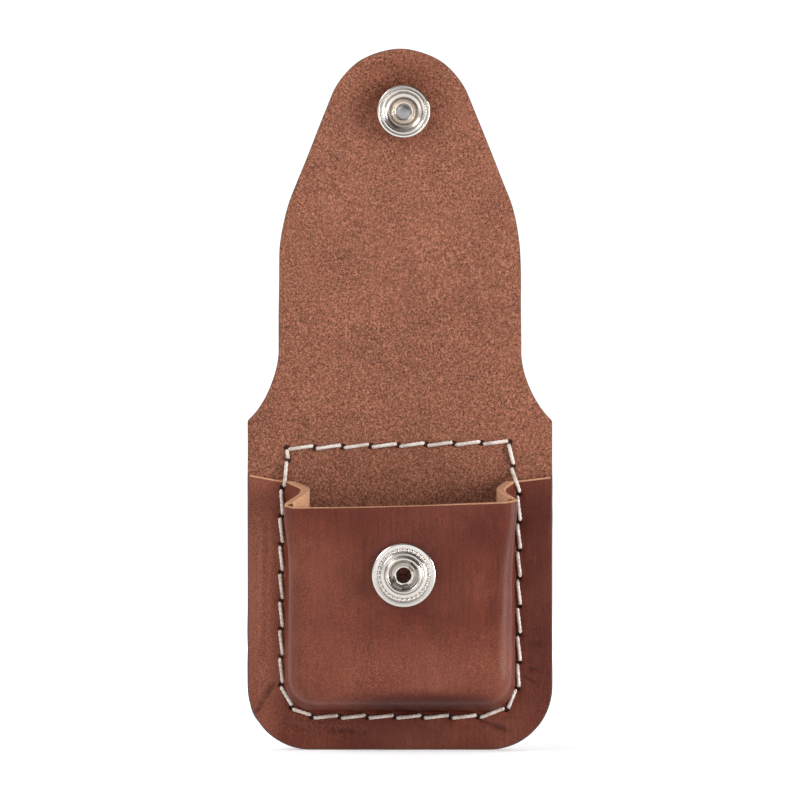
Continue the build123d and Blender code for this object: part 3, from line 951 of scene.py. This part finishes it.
socket_ring = spun(
    "socket_outer_ring",
    [
        ((4.34, 0), 0), ((4.98, 0), 0.1), ((5.04, 0.4), 0.2), ((5.04, 2.26), 0.2), ((4.92, 2.44), 0.2),
        ((4.58, 2.52), 0.12), ((4.50, 2.10), 0.05), ((4.38, 2.08), 0.05), ((4.30, 2.38), 0.1),
        ((4.02, 2.46), 0.2), ((3.77, 2.24), 0.12), ((3.75, 1.92), 0), ((4.34, 1.92), 0),
    ],
    SOCKET_Z, -HIDE, -1, 128,
)
socket_cup = spun(
    "socket_cup",
    [
        ((POST_R + 0.05, 0), 0), ((4.2, 0), 0.1), ((4.2, 0.45), 0), ((4.08, 0.5), 0), ((4.08, 1.25), 0.05),
        ((3.80, 1.25), 0.08), ((3.70, 0.80), 0.3), ((3.36, 0.50), 0.4), ((2.45, 0.12), 0.2),
        ((POST_R + 0.05, 0.12), 0),
    ],
    SOCKET_Z, -HIDE, -1, 128,
)
cap_post = spun(
    "cap_post_rolled",
    [
        ((0, 0.86), 0), ((0.8, 0.80), 0.5), ((1.44, 0.50), 0.1), ((1.56, 0.92), 0.1),
        ((1.84, 1.02), 0.1), ((1.94, 0.84), 0.05), ((2.06, 1.00), 0.1), ((2.36, 0.84), 0.15),
        ((2.42, 0.25), 0.1), ((POST_R, 0.25), 0), ((POST_R, -HIDE), 0), ((5.3, -HIDE - 0.02), 0),
        ((5.3, -HIDE - 0.35), 0.1), ((0, -HIDE - 0.35), 0),
    ],
    SOCKET_Z, -HIDE, -1,
)
snap_cap = spun(
    "snap_cap_dome",
    [
        ((0, 1.95), 0), ((4.1, 1.60), 2.0), ((5.85, 0.70), 0.3), ((5.85, 0.32), 0), ((5.5, 0.30), 0.05),
        ((5.5, 0.02), 0.05), ((6.2, 0.02), 0.28), ((6.2, 0.75), 0.5), ((4.3, 1.98), 3.2), ((0, 2.3), 0),
    ],
    SOCKET_Z, 0, 1, 128,
)

bpy.ops.object.select_all(action="DESELECT")
bpy.ops.mesh.primitive_torus_add(
    location=(SNAP_X, -HIDE - 1.58, SOCKET_Z), rotation=(math.pi / 2, 0, 0),
    major_radius=3.92, minor_radius=0.3, major_segments=120, minor_segments=12,
)
spring = bpy.context.object
spring.name = "socket_wire_ring"
bpy.ops.object.transform_apply(location=True, rotation=True, scale=True)
in_edit_mode(
    spring, lambda v: v.co.z > SOCKET_Z and abs(v.co.x - SNAP_X) < 0.5 and (v.co.z - SOCKET_Z) > 3, "VERT"
)
bpy.ops.mesh.delete(type="VERT")
bpy.ops.mesh.select_all(action="SELECT")
bpy.ops.mesh.region_to_loop()
bpy.ops.mesh.fill()
bpy.ops.object.mode_set(mode="OBJECT")

for piece, material, node_name, slot in (
    (socket_ring, nickel, "socket_ring", "nickel"), (socket_cup, nickel, "socket_body", "nickel"),
    (cap_post, worn_post, "cap_post", "nickel"), (snap_cap, nickel, "snap_cap", "nickel"),
    (spring, nickel, "socket_spring", "spring_wire"),
):
    piece.data.materials.append(material)
    piece.data.materials.append(post_well)
    for face in piece.data.polygons:
        around = math.hypot(face.center.x - SNAP_X, face.center.z - SOCKET_Z)
        face.material_index = int(piece is cap_post and around < 1.5 and face.center.y < -HIDE - 0.4)
    finished(piece, 32)
    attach(piece, "flap_tongue")
    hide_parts(node_name)

# ---------------------------------------------------------------- snap, stud half
# The stud is a pressed collar with a milled ring round its flange and a hollow neck that swells at the
# top, where the socket's wire grips it. A tubular eyelet comes through the pocket from inside and is
# split and flared on the stud's floor.

EYELET_R, EYELET_BORE, MILLED_BUMPS = 1.65, 1.33, 31

stud = spun(
    "snap_stud_collar",
    [
        ((EYELET_R + 0.05, 0), 0), ((5.85, 0), 0.1), ((6.0, 0.2), 0.1), ((5.98, 0.42), 0.12),
        ((5.74, 0.54), 0.12), ((5.02, 0.50), 0.05), ((4.96, 0.34), 0.03), ((4.44, 0.34), 0.03),
        ((4.36, 0.80), 0.1), ((4.16, 0.94), 0.1), ((3.72, 0.98), 0.06), ((3.60, 0.76), 0.04),
        ((3.34, 0.76), 0.05), ((3.24, 1.6), 0.5), ((3.52, 2.15), 0.3), ((3.50, 2.68), 0.3),
        ((3.2, 2.9), 0.15), ((2.9, 2.78), 0.12), ((2.74, 2.1), 0.2), ((2.60, 1.2), 0.2),
        ((2.34, 0.75), 0.1), ((EYELET_R + 0.05, 0.5), 0),
    ],
    STUD_Z, FACE_Y, -1, 128,
)
bpy.ops.object.select_all(action="DESELECT")
bpy.ops.mesh.primitive_uv_sphere_add(
    segments=12, ring_count=8, radius=1, location=(SNAP_X + 4.70, FACE_Y - 0.36, STUD_Z)
)
bump = bpy.context.object
bump.scale = (0.30, 0.28, 0.33)
bpy.ops.object.transform_apply(location=True, rotation=True, scale=True)
bumps = [bump]
for i in range(1, MILLED_BUMPS):
    select_only(bump)
    bpy.ops.object.duplicate()
    copy = bpy.context.object
    in_edit_mode(copy, lambda f: True)
    bpy.ops.transform.rotate(
        value=2 * math.pi * i / MILLED_BUMPS, orient_axis="Y", center_override=(SNAP_X, FACE_Y, STUD_Z)
    )
    bpy.ops.object.mode_set(mode="OBJECT")
    bumps.append(copy)
bpy.ops.object.select_all(action="DESELECT")
for piece in bumps + [stud]:
    piece.select_set(True)
bpy.context.view_layer.objects.active = stud
bpy.ops.object.join()

eyelet = spun(
    "stud_eyelet_flared",
    [
        ((EYELET_BORE, -SKIN - 0.55), 0.15), ((4.0, -SKIN - 0.45), 0.1),
        ((4.3, -SKIN), 0), ((EYELET_R, -SKIN), 0), ((EYELET_R, 0.54), 0),
        ((2.28, 0.60), 0.05), ((2.32, 0.80), 0.08), ((1.85, 1.12), 0.2),
        ((1.50, 1.14), 0.1), ((EYELET_BORE, 0.9), 0.1),
    ],
    STUD_Z, FACE_Y, -1,
)
SPLITS = [math.radians(angle) for angle in (43, 202, 280)]
for vertex in eyelet.data.vertices:
    across, up = vertex.co.x - SNAP_X, vertex.co.z - STUD_Z
    radius, turned = math.hypot(across, up), math.atan2(up, across) % (2 * math.pi)
    if vertex.co.y < FACE_Y - 0.52 and radius > 1.7 and min(abs(turned - split) for split in SPLITS) < 0.26:
        vertex.co.x = SNAP_X + across * 1.66 / radius
        vertex.co.z = STUD_Z + up * 1.66 / radius

for piece, node_name in ((stud, "snap_stud"), (eyelet, "stud_eyelet")):
    piece.data.materials.append(nickel)
    piece.data.materials.append(painted_crescent_shade)
    piece.data.materials.append(painted_split_shade)
    for face in piece.data.polygons:
        across, up = face.center.x - SNAP_X, face.center.z - STUD_Z
        around, height = math.hypot(across, up), FACE_Y - face.center.y
        # The lower-left half of the stud's inner wall ring gets darker nickel: a painted shade crescent.
        inside = piece is stud and 2.3 < around < 2.75 and 0.1 < height < 0.8
        turned = math.atan2(up, across) % (2 * math.pi)
        # The splits are painted near black: painted shade for the dark gaps in the flared eyelet.
        split = piece is eyelet and around > 1.66 and 0.55 < height < 1.2
        if split and min(abs(turned - angle) for angle in SPLITS) < 0.24:
            face.material_index = 2
        else:
            face.material_index = int(inside and across + up < 0)
    finished(piece, 32)
    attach(piece, "case")
    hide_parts(node_name)
